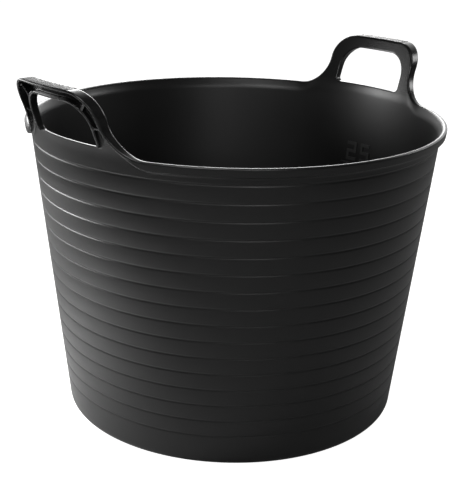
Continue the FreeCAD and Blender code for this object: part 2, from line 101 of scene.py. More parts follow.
def ease(value: np.ndarray, start: float, end: float) -> np.ndarray:
    """Share from 0 at start to 1 at end, level at both."""
    share = np.clip((value - start) / (end - start), 0.0, 1.0)
    return share * share * (3.0 - 2.0 * share)


def join(first: np.ndarray, second: np.ndarray, radius: np.ndarray | float) -> np.ndarray:
    """Union of two distance fields, with a hollow fillet where they meet.

    Args:
        first: Distances to one solid, negative inside it.
        second: Distances to the other.
        radius: The fillet's radius.

    Returns:
        Distances to the joined solid.
    """
    near = np.hypot(np.maximum(radius - first, 0.0), np.maximum(radius - second, 0.0))
    return np.maximum(radius, np.minimum(first, second)) - near


def overlap(first: np.ndarray, second: np.ndarray, radius: float) -> np.ndarray:
    """Common part of two distance fields, with a rounded edge where they meet.

    Args:
        first: Distances to one solid, negative inside it.
        second: Distances to the other.
        radius: The edge's radius.

    Returns:
        Distances to what the two share.
    """
    past = np.hypot(np.maximum(radius + first, 0.0), np.maximum(radius + second, 0.0))
    return np.minimum(-radius, np.maximum(first, second)) + past


@dataclass(frozen=True)
class RimRule:
    """The rim and its handles as one distance field, in the tub's own frame.

    Heights called rise are above the rim plane.
    """

    rim_height: float
    rim_radius: float
    wall_draft: float = math.radians(6.32)
    wall_thick: float = 3.0 * MM
    lip_reach: float = 5.7 * MM
    lip_band: float = 8.7 * MM
    lip_lean: float = math.radians(7.0)
    lip_hollow: float = 3.5 * MM
    lip_edge: float = 2.0 * MM
    flare_depth: float = 9.0 * MM
    flare_reach: float = 3.6 * MM
    foot_rise: float = -16.0 * MM
    handle_lean: float = math.radians(17.0)
    flange_lean: float = math.radians(22.0)
    bead_lean: float = math.radians(20.0)
    bead_depth: float = 6.7 * MM
    flange_thick: float = 2.5 * MM
    half_width: float = 60.0 * MM
    top_rise: float = 59.5 * MM
    corner: float = 26.0 * MM
    sweep: float = 32.0 * MM
    hole_half_width: float = 46.0 * MM
    hole_sill: float = 6.0 * MM
    hole_top: float = 46.5 * MM
    hole_corner: float = 24.0 * MM
    hole_foot_corner: float = 5.0 * MM
    rib_half: float = 1.2 * MM
    leg_rib_rise: float = 25.0 * MM
    lip_from: float = 62.0 * MM
    lip_whole: float = 96.0 * MM
    bend_ease: float = 6.0 * MM
    flare_ease: float = 3.0 * MM
    outer_inset: float = 0.3 * MM
    handle_hollow: float = 1.4 * MM
    band_edge: float = 0.8 * MM
    bead_edge: float = 0.8 * MM
    bead_hollow: float = 1.2 * MM
    rib_share: float = 0.2
    rib_inset: float = 0.6 * MM
    rib_edge: float = 0.6 * MM
    rib_hollow: float = 1.0 * MM
    inner_edge: float = 0.3 * MM
    hole_edge: float = 0.9 * MM
    slope_step: float = 0.02 * MM

    @property
    def wall_radius(self) -> float:
        """Radius of the wall's outer face carried up to the rim plane."""
        return self.rim_radius - self.lip_reach

    def outline(self, across: np.ndarray, rise: np.ndarray) -> np.ndarray:
        """Distance outside the rim's upper edge as it sweeps up and over the handle."""
        handle = overlap(across - self.half_width, rise - self.top_rise, self.corner)
        return join(rise, handle, self.sweep)

    def hole(self, across: np.ndarray, rise: np.ndarray) -> np.ndarray:
        """Distance outside the finger opening, negative in it."""
        arch = overlap(across - self.hole_half_width, rise - self.hole_top, self.hole_corner)
        return overlap(arch, self.hole_sill - rise, self.hole_foot_corner)

    def inside(self, rise: np.ndarray) -> np.ndarray:
        """Radius of the inner face: the wall's draft below the rim, the handle's lean above.

        Args:
            rise: Heights above the rim plane.

        Returns:
            One radius a height.
        """
        bend = math.tan(self.handle_lean) - math.tan(self.wall_draft)
        start = self.wall_radius - self.wall_thick
        return start + rise * math.tan(self.wall_draft) + soft_ramp(rise, self.bend_ease) * bend

    def ribs(self, across: np.ndarray, rise: np.ndarray) -> np.ndarray:
        """Distance to the ribs that cross the channel, seen square on.

        Args:
            across: Distances sideways from the handle's middle.
            rise: Heights above the rim plane.

        Returns:
            One distance a place, negative in a rib.
        """
        slant_across = self.hole_half_width - self.rib_share * self.hole_corner
        slant_rise = self.hole_top - self.rib_share * self.hole_corner
        slant = np.abs((across - slant_across) - (rise - slant_rise)) / math.sqrt(2.0)
        slant = np.maximum(slant, self.hole_half_width - self.hole_corner - across)
        level = np.maximum(np.abs(rise - self.leg_rib_rise), self.hole_half_width - across)
        return np.minimum(slant, level) - self.rib_half

    def distance(self, places: np.ndarray) -> np.ndarray:
        """Distance field of the whole rim.

        Args:
            places: Points, one a row, measured from the rim plane's centre.

        Returns:
            One distance a point, negative inside the plastic.
        """
        east, north, rise = places[..., 0], places[..., 1], places[..., 2]
        radius = np.hypot(east, north)
        across = np.abs(north)
        edge, gap = self.outline(across, rise), self.hole(across, rise)
        plain_lip = ease(across, self.lip_from, self.lip_whole)
        inner = self.inside(rise)
        flare = soft_ramp(self.flare_depth + edge, self.flare_ease) * self.flare_reach / self.flare_depth
        inner_face = inner + flare * plain_lip
        lean = np.where(rise > 0.0, math.tan(self.flange_lean), math.tan(self.lip_lean))
        outer_face = self.rim_radius - self.outer_inset + rise * lean
        depth = self.flange_thick + (self.lip_band - self.flange_thick) * plain_lip
        hollow = self.handle_hollow + (self.lip_hollow - self.handle_hollow) * plain_lip
        band = overlap(radius - outer_face, -edge - depth, self.band_edge)
        bead_face = self.wall_radius - self.wall_thick + self.bead_depth
        bead_face = bead_face + rise * math.tan(self.bead_lean)
        bead = overlap(radius - bead_face, gap - self.flange_thick, self.bead_edge)
        bead = np.maximum(bead, self.hole_sill - rise)
        rib_face = radius - bead_face + self.rib_inset
        ribs = overlap(rib_face, self.ribs(across, rise), self.rib_edge)
        filled = join(radius - inner - self.wall_thick, band, hollow)
        filled = join(filled, bead, self.bead_hollow)
        filled = join(filled, np.maximum(ribs, -gap), self.rib_hollow)
        solid = overlap(filled, inner_face - radius, self.inner_edge)
        solid = overlap(solid, edge, self.lip_edge)
        return overlap(solid, -gap, self.hole_edge)

    def slope(self, places: np.ndarray) -> np.ndarray:
        """Gradient of the distance field, by small steps either way.

        Args:
            places: Points, one a row, measured from the rim plane's centre.

        Returns:
            One gradient a point.
        """
        step = self.slope_step
        columns = []
        for axis in range(3):
            shift = np.zeros(3)
            shift[axis] = step
            columns.append((self.distance(places + shift) - self.distance(places - shift)) / (2 * step))
        return np.stack(columns, axis=-1)


@dataclass
class Skinner:
    """Turns a distance field into a closed skin of four-sided faces between two upright planes.

    The field is read on a grid of turn, radius and rise.  Each grid cell that the surface passes
    through gets one point, and each grid line that it crosses gets one face.  The stretch is
    capped flat where it meets the grid's first and last plane, so two stretches meet exactly.
    """

    rule: RimRule
    turns: np.ndarray
    radii: np.ndarray
    rises: np.ndarray
    press: float = 0.06
    rounds: int = 4
    longest_move: float = 0.6 * MM
    least_slope: float = 0.05

    def skin(self) -> tuple[np.ndarray, np.ndarray]:
        """Mesh the stretch.

        Returns:
            The points and the faces, each face four point numbers.
        """
        axes = (self.turns, self.radii, self.rises)
        turn, radius, rise = np.meshgrid(*axes, indexing="ij")
        nodes = np.stack([radius * np.cos(turn), radius * np.sin(turn), rise], axis=-1)
        values = np.pad(self.rule.distance(nodes), 1, constant_values=1.0)
        inside = values < 0.0
        spots, numbers, real = self.cell_points(values, inside)
        faces = self.crossing_faces(inside, numbers)
        places, held = self.place(spots, axes)
        return self.settle(places, held, real), faces

    def cell_points(self, values: np.ndarray,
                    inside: np.ndarray) -> tuple[np.ndarray, np.ndarray, np.ndarray]:
        """Find the middle of the surface in each cell that it passes through.

        Args:
            values: The field on the padded grid.
            inside: Which grid nodes are inside the solid.

        Returns:
            The points in grid steps, each cell's point number, and which points lie on the
            true surface and not only on a cap.
        """
        cells = tuple(size - 1 for size in values.shape)
        total = np.zeros(cells + (3,))
        hits = np.zeros(cells)
        for axis in range(3):
            for one in (0, 1):
                for two in (0, 1):
                    low = [slice(None, -1)] * 3
                    others = [other for other in range(3) if other != axis]
                    low[others[0]] = slice(one, cells[others[0]] + one)
                    low[others[1]] = slice(two, cells[others[1]] + two)
                    high = list(low)
                    high[axis] = slice(1, None)
                    start, end = values[tuple(low)], values[tuple(high)]
                    crossed = inside[tuple(low)] != inside[tuple(high)]
                    share = np.where(crossed, start / np.where(crossed, start - end, 1.0), 0.0)
                    spot = np.zeros(cells + (3,))
                    spot[..., axis] = share
                    spot[..., others[0]] = one
                    spot[..., others[1]] = two
                    total += spot * crossed[..., None]
                    hits += crossed
        used = hits > 0
        numbers = np.full(cells, -1)
        numbers[used] = np.arange(used.sum())
        corner = np.argwhere(used)
        spots = corner + total[used] / hits[used][:, None] - 1.0
        return spots, numbers, self.real_cells(inside)[used]

    @staticmethod
    def real_cells(inside: np.ndarray) -> np.ndarray:
        """Find the cells in which one unpadded node is inside the solid and another isn't.

        Args:
            inside: Which nodes of the padded grid are inside the solid.

        Returns:
            True for each such cell.
        """
        real = np.zeros_like(inside)
        real[1:-1, 1:-1, 1:-1] = True
        shape = tuple(size - 1 for size in inside.shape)
        has_in, has_out = np.zeros(shape, bool), np.zeros(shape, bool)
        for corner in np.ndindex(2, 2, 2):
            part = tuple(slice(low, size + low) for low, size in zip(corner, shape))
            has_in |= inside[part] & real[part]
            has_out |= ~inside[part] & real[part]
        return has_in & has_out

    @staticmethod
    def crossing_faces(inside: np.ndarray, numbers: np.ndarray) -> np.ndarray:
        """Join the four cells round each crossed grid line, facing out of the solid.

        Args:
            inside: Which nodes of the padded grid are inside the solid.
            numbers: Each cell's point number.

        Returns:
            Four point numbers a face.
        """
        faces = []
        for axis in range(3):
            one, two = [(axis + 1) % 3, (axis + 2) % 3]
            low = [slice(1, -1)] * 3
            low[axis] = slice(None, -1)
            high = list(low)
            high[axis] = slice(1, None)
            first, second = inside[tuple(low)], inside[tuple(high)]
            for leaving in (True, False):
                crossed = np.argwhere((first if leaving else second) & ~(second if leaving else first))
                base = crossed.copy()
                base[:, one] += 1
                base[:, two] += 1
                corners = []
                for back_one, back_two in ((0, 0), (1, 0), (1, 1), (0, 1)):
                    cell = base.copy()
                    cell[:, one] -= back_one
                    cell[:, two] -= back_two
                    corners.append(numbers[cell[:, 0], cell[:, 1], cell[:, 2]])
                ring = np.stack(corners if leaving else corners[::-1], axis=1)
                faces.append(ring)
        return np.concatenate(faces)

    def place(self, spots: np.ndarray, axes: tuple) -> tuple[np.ndarray, np.ndarray]:
        """Turn grid steps into places, pressed flat on to the first and last planes.

        Args:
            spots: Points in grid steps.
            axes: The grid's turns, radii and rises.

        Returns:
            The places, and for each the directions (round, up) that it may not leave.
        """
        steps = [np.clip(spots[:, axis], 0, len(axes[axis]) - 1) for axis in range(3)]
        turn, radius, rise = (
            np.interp(steps[axis], np.arange(len(axes[axis])), axes[axis]) for axis in range(3)
        )
        at_start = steps[0] < self.press
        at_end = steps[0] > len(axes[0]) - 1 - self.press
        on_end = at_start | at_end
        turn = np.where(at_start, axes[0][0], turn)
        turn = np.where(at_end, axes[0][-1], turn)
        on_foot = steps[2] < self.press
        rise = np.where(on_foot, axes[2][0], rise)
        places = np.stack([radius * np.cos(turn), radius * np.sin(turn), rise], axis=-1)
        return places, np.stack([on_end, on_foot], axis=-1)

    def settle(self, places: np.ndarray, held: np.ndarray, real: np.ndarray) -> np.ndarray:
        """Draw the points on to the surface itself, keeping those on a cap in its plane.

        Args:
            places: The points.
            held: For each point, whether it may not move round and whether it may not move up.
            real: Which points lie on the true surface; the others stay put.

        Returns:
            The points after settling.
        """
        for _ in range(self.rounds):
            gap = self.rule.distance(places)
            slope = self.rule.slope(places)
            turn = np.arctan2(places[:, 1], places[:, 0])
            round_way = np.stack([-np.sin(turn), np.cos(turn), np.zeros_like(turn)], axis=-1)
            along = np.sum(slope * round_way, axis=-1) * held[:, 0]
            slope = slope - round_way * along[:, None]
            slope[:, 2] *= ~held[:, 1]
            steep = np.maximum(np.sum(slope * slope, axis=-1), self.least_slope)
            move = -slope * (gap / steep)[:, None]
            size = np.linalg.norm(move, axis=-1)
            move *= np.minimum(1.0, self.longest_move / np.maximum(size, 1e-12))[:, None]
            places = places + move * real[:, None]
        return places


# ---------------------------------------------------------------- node trees

class Tree:
    """Short hand for filling a node tree."""

    def __init__(self, tree: bpy.types.NodeTree) -> None:
        """Keep the tree."""
        self.tree = tree

    def node(self, kind: str, inputs: dict | None = None, **settings: object) -> bpy.types.Node:
        """Add a node.

        Args:
            kind: The node's type name.
            inputs: Socket name or number to a plain value or to a socket to link from.
            settings: Properties of the node.

        Returns:
            The new node.
        """
        made = self.tree.nodes.new(kind)
        for name, value in settings.items():
            setattr(made, name, value)
        for socket, value in (inputs or {}).items():
            self.feed(made.inputs[socket], value)
        return made

    def feed(self, socket: bpy.types.NodeSocket, value: object) -> None:
        """Set a socket's value, or link it if the value is a socket.

        Args:
            socket: The input to feed.
            value: A plain value, or the output to link from.
        """
        if isinstance(value, bpy.types.NodeSocket):
            self.tree.links.new(value, socket)
        else:
            socket.default_value = value

    def math(self, operation: str, *values: object) -> bpy.types.NodeSocket:
        """Add a Math node.

        Args:
            operation: What it does.
            values: Its inputs in order, plain values or sockets.

        Returns:
            Its output.
        """
        made = self.node("ShaderNodeMath", operation=operation)
        for socket, value in zip(made.inputs, values):
            self.feed(socket, value)
        return made.outputs[0]

    def socket(self, name: str, kind: str, default: object = None, output: bool = False) -> None:
        """Add a named input or output to the tree.

        Args:
            name: The socket's name.
            kind: The socket's type name.
            default: Its value when nothing is linked.
            output: Whether it is an output.
        """
        way = "OUTPUT" if output else "INPUT"
        made = self.tree.interface.new_socket(name=name, in_out=way, socket_type=kind)
        if default is not None:
            made.default_value = default


def new_geometry_tree(name: str) -> Tree:
    """Make an empty Geometry Nodes tree with a geometry input and output.

    Args:
        name: The tree's name.

    Returns:
        The tree.
    """
    tree = Tree(bpy.data.node_groups.new(name, "GeometryNodeTree"))
    tree.socket("Geometry", "NodeSocketGeometry")
    tree.socket("Geometry", "NodeSocketGeometry", output=True)
    return tree


def run_geometry_tree(obj: bpy.types.Object, tree: Tree, values: dict) -> None:
    """Run a tree on an object and keep the result as its plain mesh.

    Args:
        obj: The object that holds the tree's input.
        tree: The tree to run.
        values: Input name to value.
    """
    modifier = obj.modifiers.new("shape", "NODES")
    modifier.node_group = tree.tree
    for item in tree.tree.interface.items_tree:
        if item.item_type == "SOCKET" and item.in_out == "INPUT" and item.name in values:
            modifier[item.identifier] = values[item.name]
    bpy.context.view_layer.update()
    graph = bpy.context.evaluated_depsgraph_get()
    mesh = bpy.data.meshes.new_from_object(obj.evaluated_get(graph))
    obj.modifiers.remove(modifier)
    obj.data = mesh


def turning_tree() -> Tree:
    """Tree that turns a closed chain of profile points about the upright axis.

    Returns:
        The tree, with inputs for the number of sides and of profile points.
    """
    tree = new_geometry_tree("turned_pot")
    tree.socket("Sides", "NodeSocketInt", 192)
    tree.socket("Profile Points", "NodeSocketInt", 8)
    tree.socket("Material", "NodeSocketMaterial")
    source = tree.node("NodeGroupInput").outputs
    rows = tree.math("ADD", source["Profile Points"], 1.0)
    columns = tree.math("ADD", source["Sides"], 1.0)
    grid = tree.node("GeometryNodeMeshGrid", {
        "Size X": 1.0, "Size Y": 1.0, "Vertices X": columns, "Vertices Y": rows,
    })
    place = tree.node("ShaderNodeSeparateXYZ", {0: tree.node("GeometryNodeInputPosition").outputs[0]})
    turn = tree.math("MULTIPLY", tree.math("ADD", place.outputs["X"], 0.5), 2 * math.pi)
    along = tree.math("MULTIPLY", tree.math("ADD", place.outputs["Y"], 0.5), source["Profile Points"])
    step = tree.math("MODULO", tree.math("ROUND", along), source["Profile Points"])
    sample = tree.node("GeometryNodeSampleIndex", data_type="FLOAT_VECTOR", domain="POINT")
    tree.feed(sample.inputs["Geometry"], source["Geometry"])
    tree.feed(sample.inputs["Value"], tree.node("GeometryNodeInputPosition").outputs[0])
    tree.feed(sample.inputs["Index"], step)
    point = tree.node("ShaderNodeSeparateXYZ", {0: sample.outputs[0]})
    turned = tree.node("ShaderNodeCombineXYZ", {
        "X": tree.math("MULTIPLY", point.outputs["X"], tree.math("COSINE", turn)),
        "Y": tree.math("MULTIPLY", point.outputs["X"], tree.math("SINE", turn)),
        "Z": point.outputs["Z"],
    })
    moved = tree.node("GeometryNodeSetPosition", {
        "Geometry": grid.outputs["Mesh"], "Position": turned.outputs[0],
    })
    merged = tree.node("GeometryNodeMergeByDistance", {
        "Geometry": moved.outputs[0], "Distance": 0.01 * MM,
    })
    real = tree.node("GeometryNodeRealizeInstances", {"Geometry": merged.outputs[0]})
    dressed = tree.node("GeometryNodeSetMaterial", {
        "Geometry": real.outputs[0], "Material": source["Material"],
    })
    tree.node("NodeGroupOutput", {"Geometry": dressed.outputs[0]})
    return tree


def pebble_tree() -> Tree:
    """Tree that strews low pebbles over the upper faces of a pad.

    The pad is strewn at a thousand times its size, so there lengths are in millimetres and the
    density is per square millimetre.

    Returns:
        The tree, with inputs for the pebbles' spacing, size, height and seed.
    """
    tree = new_geometry_tree("pebbled_pad")
    tree.socket("Spacing", "NodeSocketFloat", 1.7 * MM)
    tree.socket("Pebble Radius", "NodeSocketFloat", 0.9 * MM)
    tree.socket("Pebble Height", "NodeSocketFloat", 0.4)
    tree.socket("Seed", "NodeSocketInt", 3)
    tree.socket("Material", "NodeSocketMaterial")
    source = tree.node("NodeGroupInput").outputs
    upward = tree.node("ShaderNodeSeparateXYZ", {0: tree.node("GeometryNodeInputNormal").outputs[0]})
    top = tree.node("FunctionNodeCompare", {"A": upward.outputs["Z"], "B": 0.9}, operation="GREATER_THAN")
    upper = tree.node("GeometryNodeSeparateGeometry", {
        "Geometry": source["Geometry"], "Selection": top.outputs["Result"],
    }, domain="FACE")
    large = tree.node("GeometryNodeTransform", {
        "Geometry": upper.outputs["Selection"], "Scale": (1000.0,) * 3,
    })
    points = tree.node("GeometryNodeDistributePointsOnFaces", {
        "Mesh": large.outputs[0],
        "Distance Min": tree.math("MULTIPLY", source["Spacing"], 1000.0),
        "Density Max": 4.0, "Seed": source["Seed"],
    }, distribute_method="POISSON")
    small = tree.node("GeometryNodeTransform", {"Geometry": points.outputs["Points"], "Scale": (MM,) * 3})
    pebble = tree.node("GeometryNodeMeshIcoSphere", {"Radius": source["Pebble Radius"], "Subdivisions": 2})
    flat = tree.node("ShaderNodeCombineXYZ", {"X": 1.0, "Y": 1.0, "Z": source["Pebble Height"]})
    low = tree.node("GeometryNodeTransform", {"Geometry": pebble.outputs["Mesh"], "Scale": flat.outputs[0]})
    size = tree.node("FunctionNodeRandomValue", data_type="FLOAT")
    for name, value in (("Min", 0.6), ("Max", 1.0)):
        for socket in size.inputs:
            if socket.name == name and socket.type == "VALUE":
                socket.default_value = value
    chance = [socket for socket in size.outputs if socket.type == "VALUE"][0]
    strewn = tree.node("GeometryNodeInstanceOnPoints", {
        "Points": small.outputs[0], "Instance": low.outputs[0], "Scale": chance,
    })
    both = tree.node("GeometryNodeJoinGeometry")
    tree.feed(both.inputs[0], source["Geometry"])
    tree.feed(both.inputs[0], strewn.outputs[0])
    real = tree.node("GeometryNodeRealizeInstances", {"Geometry": both.outputs[0]})
    dressed = tree.node("GeometryNodeSetMaterial", {
        "Geometry": real.outputs[0], "Material": source["Material"],
    })
    tree.node("NodeGroupOutput", {"Geometry": dressed.outputs[0]})
    return tree


# ---------------------------------------------------------------- finishes

class Effect(Enum):
    """Surface effects that more than one finish uses."""

    FLOW = "moulding_flow"
    GRAIN = "fine_grain"


def flow_group() -> bpy.types.NodeTree:
    """Cloudy variation that a large soft moulding shows, as a factor about 1.

    Returns:
        The shader node group, with inputs Scale and Amount and output Factor.
    """
    tree = Tree(bpy.data.node_groups.new(Effect.FLOW.value, "ShaderNodeTree"))
    tree.socket("Scale", "NodeSocketFloat", 14.0)
    tree.socket("Amount", "NodeSocketFloat", 0.1)
    tree.socket("Factor", "NodeSocketFloat", output=True)
    source = tree.node("NodeGroupInput").outputs
    place = tree.node("ShaderNodeTexCoord").outputs["Object"]
    cloud = tree.node("ShaderNodeTexNoise", {"Vector": place, "Scale": source["Scale"], "Detail": 5.0})
    swing = tree.math("MULTIPLY", tree.math("SUBTRACT", cloud.outputs[0], 0.5), source["Amount"])
    tree.node("NodeGroupOutput", {"Factor": tree.math("ADD", swing, 1.0)})
    return tree.tree


def grain_group() -> bpy.types.NodeTree:
    """Fine spark-eroded grain of the mould, as a height.

    Returns:
        The shader node group, with inputs Scale and Depth and output Height.
    """
    tree = Tree(bpy.data.node_groups.new(Effect.GRAIN.value, "ShaderNodeTree"))
    tree.socket("Scale", "NodeSocketFloat", 900.0)
    tree.socket("Depth", "NodeSocketFloat", 1.0)
    tree.socket("Height", "NodeSocketFloat", output=True)
    source = tree.node("NodeGroupInput").outputs
    place = tree.node("ShaderNodeTexCoord").outputs["Object"]
    fine = tree.node("ShaderNodeTexNoise", {"Vector": place, "Scale": source["Scale"], "Detail": 2.0})
    broad = tree.node("ShaderNodeTexNoise", {"Vector": place, "Scale": 60.0, "Detail": 3.0})
    mixed = tree.math("ADD", fine.outputs[0], tree.math("MULTIPLY", broad.outputs[0], 0.6))
    tree.node("NodeGroupOutput", {"Height": tree.math("MULTIPLY", mixed, source["Depth"])})
    return tree.tree


@dataclass(frozen=True)
class BlackPlastic:
    """Soft black polyethylene as moulded."""

    name: str
    shade: float
    roughness: float
    flow: float = 0.25
    grain_scale: float = 900.0
    grain_depth: float = 1.0
    grain_strength: float = 0.05
    rim_roughness: float = 0.27
    gloss_from: float = 0.302
    gloss_to: float = 0.325

    def material(self) -> bpy.types.Material:
        """Build the material.

        Returns:
            A procedural material whose colour, gloss and surface vary over the piece.
        """
        made = bpy.data.materials.new(self.name)
        made.use_nodes = True
        tree = Tree(made.node_tree)
        tree.tree.nodes.clear()
        flow = tree.node("ShaderNodeGroup", node_tree=effect(Effect.FLOW))
        tree.feed(flow.inputs["Amount"], self.flow)
        grain = tree.node("ShaderNodeGroup", node_tree=effect(Effect.GRAIN))
        tree.feed(grain.inputs["Scale"], self.grain_scale)
        tree.feed(grain.inputs["Depth"], self.grain_depth)
        tone = tree.math("MULTIPLY", flow.outputs["Factor"], self.shade)
        colour = tree.node("ShaderNodeCombineColor", {"Red": tone, "Green": tone, "Blue": tone})
        bump = tree.node("ShaderNodeBump", {
            "Strength": self.grain_strength, "Distance": 0.1 * MM, "Height": grain.outputs["Height"],
        })
        place = tree.node("ShaderNodeSeparateXYZ", {0: tree.node("ShaderNodeTexCoord").outputs["Object"]})
        gloss = tree.node("ShaderNodeMapRange", {
            "Value": place.outputs["Z"], "From Min": self.gloss_from, "From Max": self.gloss_to,
            "To Min": self.roughness, "To Max": self.rim_roughness,
        })
        body = tree.node("ShaderNodeBsdfPrincipled", {
            "Base Color": colour.outputs[0],
            "Roughness": tree.math("MULTIPLY", flow.outputs["Factor"], gloss.outputs[0]),
            "Normal": bump.outputs[0],
        })
        tree.node("ShaderNodeOutputMaterial", {"Surface": body.outputs[0]})
        made.diffuse_color = (self.shade, self.shade, self.shade, 1.0)
        return made


def effect(kind: Effect) -> bpy.types.NodeTree:
    """Give an effect's node group, made the first time that it is asked for."""
    known = bpy.data.node_groups.get(kind.value)
    return known or {Effect.FLOW: flow_group, Effect.GRAIN: grain_group}[kind]()


@dataclass(frozen=True)
class Finishes:
    """The tub's four finishes, all the same black plastic; the raised figures' finish is made lighter, a
    painted highlight.
    """

    wall: BlackPlastic = BlackPlastic("satin_wall", 0.006, 0.40)
    rim: BlackPlastic = BlackPlastic("smooth_rim", 0.006, 0.40)
    grip: BlackPlastic = BlackPlastic("pebbled_grip", 0.008, 0.34, grain_scale=1400.0, rim_roughness=0.34)
    # Five times lighter than the wall: painted highlight standing in for the lit tops of the raised figures
    # and level line.
    mark: BlackPlastic = BlackPlastic("raised_mark", 0.03, 0.30)


# ---------------------------------------------------------------- pieces

def piece(name: str, points: np.ndarray, faces: np.ndarray | list,
          material: bpy.types.Material) -> bpy.types.Object:
    """Make a smooth-shaded object from points and faces.

    Args:
        name: The piece's name.
        points: One point a row, in the tub's frame.
        faces: Point numbers of each face.
        material: Its finish.

    Returns:
        The object, linked to the scene.
    """
    mesh = bpy.data.meshes.new(name)
    mesh.from_pydata([tuple(map(float, row)) for row in points], [], [tuple(map(int, f)) for f in faces])
    mesh.materials.append(material)
    mesh.validate()
    mesh.shade_smooth()
    obj = bpy.data.objects.new(name, mesh)
    bpy.context.scene.collection.objects.link(obj)
    return obj


@dataclass
class Pot:
    """Floor, standing ring and ringed wall, turned in one piece."""

    rule: RimRule
    floor_top: float
    floor_lift: float
    foot_inner: float
    material: bpy.types.Material
    foot_round: float = 8.0 * MM
    inner_round: float = 7.0 * MM
    ring_count: int = 16
    ring_first: float = 17.5 * MM
    ring_pitch: float = 17.6 * MM
    ring_half: float = 1.9 * MM
    ring_depth: float = 0.6 * MM
    gate_radius: float = 6.0 * MM
    gate_drop: float = 1.3 * MM
    sides: int = 240
    gate_slope: float = 0.5 * MM
    foot_slope: float = 1.5 * MM
    foot_bevel_rise: float = 0.4 * MM
    foot_bevel_width: float = 0.6 * MM
    plain_foot: float = 20.0 * MM
    inner_foot: float = 4.0 * MM
    inner_levels: int = 12
    bend_steps: int = 8
    groove_steps: int = 9
    sharp_angle: float = math.radians(40.0)

    def outside(self, height: float) -> float:
        """Radius of the wall's outer face at a height."""
        return self.rule.wall_radius - (self.rule.rim_height - height) * math.tan(self.rule.wall_draft)

    def bend(self, centre: tuple[float, float], radius: float, start: float, end: float) -> list:
        """Points along an arc.

        Args:
            centre: The arc's centre, as radius and height.
            radius: The arc's own radius.
            start: Where it starts, in degrees up from outward.
            end: Where it ends.

        Returns:
            Its points in order, as radius and height.
        """
        points = []
        for step in range(self.bend_steps + 1):
            angle = math.radians(start + (end - start) * step / self.bend_steps)
            points.append((centre[0] + radius * math.cos(angle), centre[1] + radius * math.sin(angle)))
        return points

    def rings(self) -> list[tuple[float, float]]:
        """Outer wall from its foot up, dipping into each groove.

        Returns:
            Points in order, as radius and height.
        """
        points = []
        rim = self.rule.rim_height
        for ring in reversed(range(self.ring_count)):
            middle = rim - self.ring_first - ring * self.ring_pitch
            for step in np.linspace(-1.0, 1.0, self.groove_steps):
                height = middle + step * self.ring_half
                dip = self.ring_depth * math.cos(step * math.pi / 2) ** 2
                if height < rim + self.rule.foot_rise - 0.02 * MM:
                    points.append((self.outside(height) - dip, height))
            if ring:
                height = middle + self.ring_pitch / 2
                points.append((self.outside(height), height))
        return points

    def profile(self) -> list[tuple[float, float]]:
        """Closed section, from the axis under the floor round to the axis over it.

        Returns:
            Points in order, as radius and height.
        """
        draft = math.degrees(self.rule.wall_draft)
        top = self.rule.rim_height + self.rule.foot_rise
        foot = self.foot_round
        slope = math.tan(self.rule.wall_draft)
        centre = self.outside(0.0) + foot * slope - foot / math.cos(self.rule.wall_draft)
        inner = self.inner_round
        inner_wall = self.outside(self.floor_top) - self.rule.wall_thick
        inner_centre = inner_wall + inner * slope - inner / math.cos(self.rule.wall_draft)
        gate = self.floor_lift - self.gate_drop
        points = [(0.0, gate), (self.gate_radius, gate)]
        points += [(self.gate_radius + self.gate_slope, self.floor_lift)]
        points += [(0.5 * self.foot_inner, self.floor_lift)]
        points += [(self.foot_inner - self.foot_slope, self.floor_lift)]
        points += [(self.foot_inner, self.foot_bevel_rise)]
        points += [(self.foot_inner + self.foot_bevel_width, 0.0)]
        points += self.bend((centre, foot), foot, -90.0, -draft)
        points += [(self.outside(self.plain_foot), self.plain_foot)]
        points += self.rings()
        points += [(self.outside(top), top)]
        levels = np.linspace(top, self.floor_top + inner + self.inner_foot, self.inner_levels)
        points += [(self.outside(level) - self.rule.wall_thick, level) for level in levels]
        points += self.bend((inner_centre, self.floor_top + inner), inner, -draft, -90.0)
        points += [(0.8 * inner_centre, self.floor_top), (0.4 * inner_centre, self.floor_top)]
        points += [(0.0, self.floor_top)]
        return points

    def build(self) -> bpy.types.Object:
        """Turn the section and put it on the tub.

        Returns:
            The pot.
        """
        section = self.profile()
        points = [(radius, 0.0, height) for radius, height in section]
        mesh = bpy.data.meshes.new("pot")
        mesh.from_pydata(points, [], [])
        obj = bpy.data.objects.new("pot", mesh)
        bpy.context.scene.collection.objects.link(obj)
        values = {"Sides": self.sides, "Profile Points": len(points), "Material": self.material}
        run_geometry_tree(obj, turning_tree(), values)
        face_outwards(obj.data)
        smooth_but_edges(obj.data, self.sharp_angle)
        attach(obj, "tub")
        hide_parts("base_floor", "foot_ring", "side_wall")
        return obj


def face_outwards(mesh: bpy.types.Mesh) -> None:
    """Turn a closed mesh's faces so that they all point out of it.

    Args:
        mesh: The mesh, changed in place.
    """
    work = bmesh.new()
    work.from_mesh(mesh)
    bmesh.ops.remove_doubles(work, verts=work.verts, dist=0.001 * MM)
    bmesh.ops.dissolve_degenerate(work, edges=work.edges, dist=0.001 * MM)
    bmesh.ops.recalc_face_normals(work, faces=work.faces)
    if work.calc_volume(signed=True) < 0.0:
        bmesh.ops.reverse_faces(work, faces=work.faces)
    work.to_mesh(mesh)
    work.free()


def smooth_but_edges(mesh: bpy.types.Mesh, angle: float) -> None:
    """Shade a mesh smooth, but keep edges sharper than an angle."""
    mesh.shade_smooth()
    mesh.set_sharp_from_angle(angle=angle)


